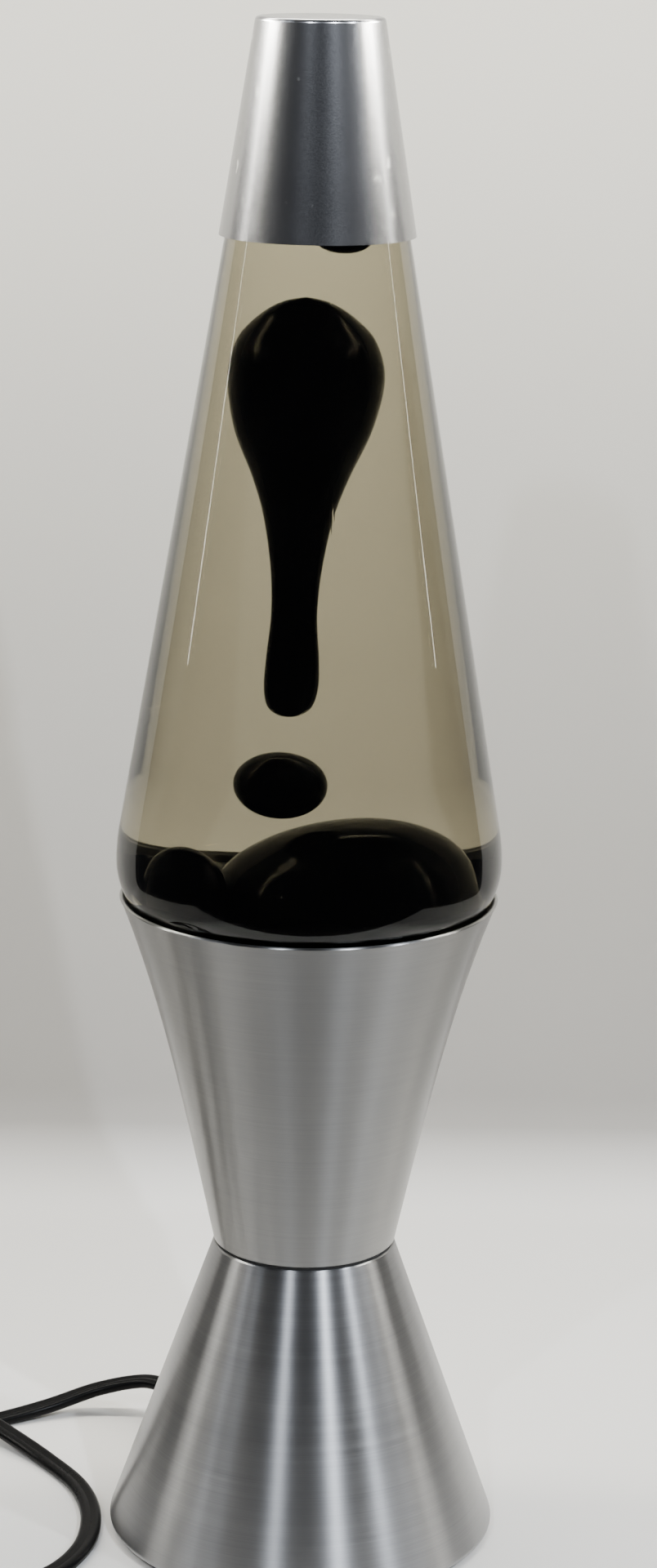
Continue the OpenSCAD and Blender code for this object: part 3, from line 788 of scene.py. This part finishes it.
def clear_piece(name, colour, rough=0.0):
    """Thin clear glass with a faint ripple."""
    made = Finish(name, IOR=1.5, Transmission_Weight=1.0, Roughness=rough)
    ripple = made.noise(made.place(), scale=120.0, detail=2.0)
    made.set(Base_Color=made.mix(ripple, colour, tuple(min(1, c * 1.03) for c in colour)),
             Normal=made.bump(ripple, 0.05, 0.0001))
    return made


vinyl = moulded("cord_vinyl", (0.002, 0.002, 0.0023), 0.2, 2400.0, IOR=1.17)
wear(vinyl, cord, nodes["cord_bushing"], nodes["wire_leads"])
wear(moulded("plug_vinyl", (0.012, 0.012, 0.013), 0.42, 1500.0), nodes["plug_body"])
wear(moulded("switch_plastic", (0.014, 0.014, 0.015), 0.3, 1300.0),
     nodes["switch_lower"], nodes["switch_upper"])
wear(moulded("rocker_plastic", (0.02, 0.02, 0.021), 0.22, 2600.0), nodes["switch_rocker"])
wear(moulded("gasket_rubber", (0.008, 0.008, 0.008), 0.6, 900.0), nodes["waist_gasket"])
wear(moulded("foot_rubber", (0.012, 0.012, 0.012), 0.7, 900.0), nodes["foot_ring"])
wear(moulded("socket_phenolic", (0.62, 0.56, 0.44), 0.4), nodes["socket_body"])
wear(moulded("liner_foam", (0.75, 0.74, 0.70), 0.6), nodes["closure_liner"])
wear(moulded("plate_paint", (0.015, 0.015, 0.015), 0.35, 700.0, 0.00008), nodes["base_plate"])
wear(moulded("bulb_black_glass", (0.01, 0.01, 0.012), 0.12), nodes["bulb_insulator"])
wear(plated("zinc_plate", (0.62, 0.62, 0.58), 0.3), nodes["socket_nut"], nodes["plate_brackets"],
     nodes["plate_screws"], nodes["switch_pin"], nodes["switch_screws"])
wear(plated("crown_steel", (0.70, 0.70, 0.70), 0.22), nodes["bottle_closure"])
wear(plated("pressed_brass", (0.78, 0.58, 0.26), 0.26), nodes["socket_shell"],
     nodes["socket_contact"], nodes["socket_terminals"], nodes["switch_contacts"])
wear(plated("bulb_brass", (0.80, 0.66, 0.40), 0.28), nodes["bulb_base"])
wear(plated("blade_brass", (0.84, 0.70, 0.42), 0.2), nodes["plug_blades"])
wear(plated("solder", (0.62, 0.62, 0.63), 0.35), nodes["bulb_contact"])
wear(plated("bulb_wire", (0.45, 0.44, 0.42), 0.3), nodes["bulb_leads"], nodes["bulb_filament"])
wear(plated("spring_wire", (0.55, 0.55, 0.55), 0.25), nodes["heating_coil"])
wear(clear_piece("bulb_clear", (0.97, 0.98, 0.98)), nodes["bulb_glass"])
wear(clear_piece("bulb_stem_glass", (0.90, 0.94, 0.95), 0.05), nodes["bulb_stem"])

strap = Finish("tie_strap", Sheen_Weight=0.4)
weave_x = strap.node("ShaderNodeTexWave", {"bands_direction": "Z"}, Scale=900.0)
weave_y = strap.node("ShaderNodeTexWave", {"bands_direction": "X"}, Scale=900.0)
web = weave_x * weave_y
strap.set(Base_Color=strap.mix(web, (0.008, 0.008, 0.009), (0.03, 0.03, 0.032)),
          Roughness=0.75 + web * 0.1, Normal=strap.bump(web, 0.5, 0.0001))
wear(strap, nodes["cord_tie"])
print(len(MADE), "finishes")

# %% [markdown]
# ## The stage and the light
#
# The lamp stands on a pale top that runs back and curves up into a pale wall close behind
# it, so that the wall can be seen, turned over, through the liquid. A long strip light hangs
# just above and behind the cap, as one does under a kitchen cabinet. It washes the wall from
# above, and painted shade in the wall's colour darkens it further towards its foot. A lamp on
# each side makes a bright upright band on the cap, and a narrow tube farther out makes a thin
# line on the glass. The room in front stays dark, which leaves the middle of the cap dark, and
# a few small cool lamps high up in it draw the narrow streaks down the brushed cone. The top
# has a painted shadow in front of the lamp and painted shade far out to the sides, where only
# the brushed flare mirrors it.

# %% Build the stage
WALL_BACK = 0.235
WALL_CURVE = 0.03
WALL_UP = 1.0
STAGE_WIDE = 0.42
STAGE_FRONT = -0.16

bend = [(WALL_BACK - WALL_CURVE + y, WALL_CURVE + z)
        for y, z in arc(0, 0, WALL_CURVE, -90, 0, 12)]
profile = [(STAGE_FRONT, 0)] + bend + [(WALL_BACK, WALL_UP)]
stage = skin("pale_stage", [[Vector((x, y, z)) for y, z in profile]
                            for x in (-STAGE_WIDE, 0, STAGE_WIDE)], closed=False, caps=False)
print("stage", len(stage.data.vertices), "points")
paper = Finish("stage_paper", Roughness=0.6, Specular_IOR_Level=0.1)
mottle = paper.noise(paper.place(), scale=9.0, detail=3.0)
floor_mottle_and_painted_shade = paper.mix(mottle, (0.76, 0.745, 0.72), (0.82, 0.805, 0.78))
# Painted shade on the wall: a dark tone low down and a lighter, painted lit tone at the top under
# the strip light.
wall_painted_shade_tone = paper.mix(mottle, (0.36, 0.345, 0.33), (0.39, 0.375, 0.36))
wall_painted_lit_tone = paper.mix(mottle, (0.70, 0.675, 0.61), (0.74, 0.715, 0.65))
# Painted shadow on the top in front of the lamp, and painted shade on the top far out to the sides.
painted_front_shadow_tone = paper.mix(mottle, (0.50, 0.49, 0.475), (0.54, 0.53, 0.515))
painted_side_shade_tone = paper.mix(mottle, (0.22, 0.215, 0.205), (0.25, 0.245, 0.235))
# The painted shadow in front and the painted shade at the sides are mixed into the top's mottled
# tone.
floor_mottle_and_painted_shade = paper.mix(paper.ahead().between(0.05, 0.12), floor_mottle_and_painted_shade, painted_front_shadow_tone)
floor_mottle_and_painted_shade = paper.mix(paper.aside().between(0.16, 0.22), floor_mottle_and_painted_shade, painted_side_shade_tone)
# Painted shade: the wall's colour darkens from its top down to its foot.
wall_mottle_and_painted_shade = paper.mix(paper.up().between(0.0, 0.40), wall_painted_shade_tone, wall_painted_lit_tone)
paper.set(Base_Color=paper.mix(paper.up().between(0.0, 0.02), floor_mottle_and_painted_shade, wall_mottle_and_painted_shade))
wear(paper, stage)

# %% Light it
def soft_box(name, place, aim, wide, high, power, colour):
    """A flat lamp at a place, turned to face an aim."""
    data = bpy.data.lights.new(name, "AREA")
    data.shape = "RECTANGLE"
    data.size, data.size_y = wide, high
    data.energy, data.color = power, colour
    box = bpy.data.objects.new(name, data)
    bpy.context.scene.collection.objects.link(box)
    box.location = place
    box.rotation_euler = (Vector(aim) - Vector(place)).to_track_quat("-Z", "Y").to_euler()
    return box


def around(azimuth, elevation):
    """A place in the room: azimuth in degrees to the right of the front."""
    a, e = math.radians(azimuth), math.radians(elevation)
    return BASE_MID + ROOM_R * Vector((math.sin(a) * math.cos(e), -math.cos(a) * math.cos(e),
                                       math.sin(e)))


WARM = (1.0, 0.97, 0.88)
COOL = (0.86, 0.92, 1.0)
ROOM_COLOUR = (0.50, 0.52, 0.60, 1)
ROOM_STRENGTH = 0.06
ROOM_R = 1.7
BASE_MID = Vector((0, 0, 0.1))
CAP_MID = (0, 0, 0.385)
CAP_SPREAD = math.radians(50)
soft_box("strip", (0, 0.08, 0.47), (0, 0.08, 0), 2.2, 0.04, 9, WARM)
for side_x in (-1, 1):
    lamp = soft_box(f"cap_lamp_{side_x}", (side_x * 0.36, 0.065, 0.47), CAP_MID, 0.29, 0.06,
                    0.65, WARM)
    lamp.data.spread = CAP_SPREAD
    soft_box(f"tube_{side_x}", (side_x * 1.3, 0.16, 0.42), (0, 0, 0.33), 0.015, 0.4, 0.35, WARM)
# Each streak's lamp: azimuth, elevation, width, height and power
STREAKS = [(-18, 40, 0.03, 0.06, 7), (27, 40, 0.03, 0.06, 15), (62, 38, 0.04, 0.1, 11),
           (-60, 33, 0.25, 0.04, 0.8), (-76, 34, 0.12, 0.2, 1.5), (68, 25, 0.25, 0.03, 0.6),
           (84, 34, 0.12, 0.2, 2)]
for k, (azimuth, elevation, wide, high, power) in enumerate(STREAKS):
    soft_box(f"streak_{k}", around(azimuth, elevation), BASE_MID, wide, high, power, COOL)
print(len(STREAKS), "streak lamps")

world = bpy.data.worlds.new("room")
bpy.context.scene.world = world
world.use_nodes = True
room = world.node_tree.nodes["Background"].inputs
room["Color"].default_value = ROOM_COLOUR
room["Strength"].default_value = ROOM_STRENGTH
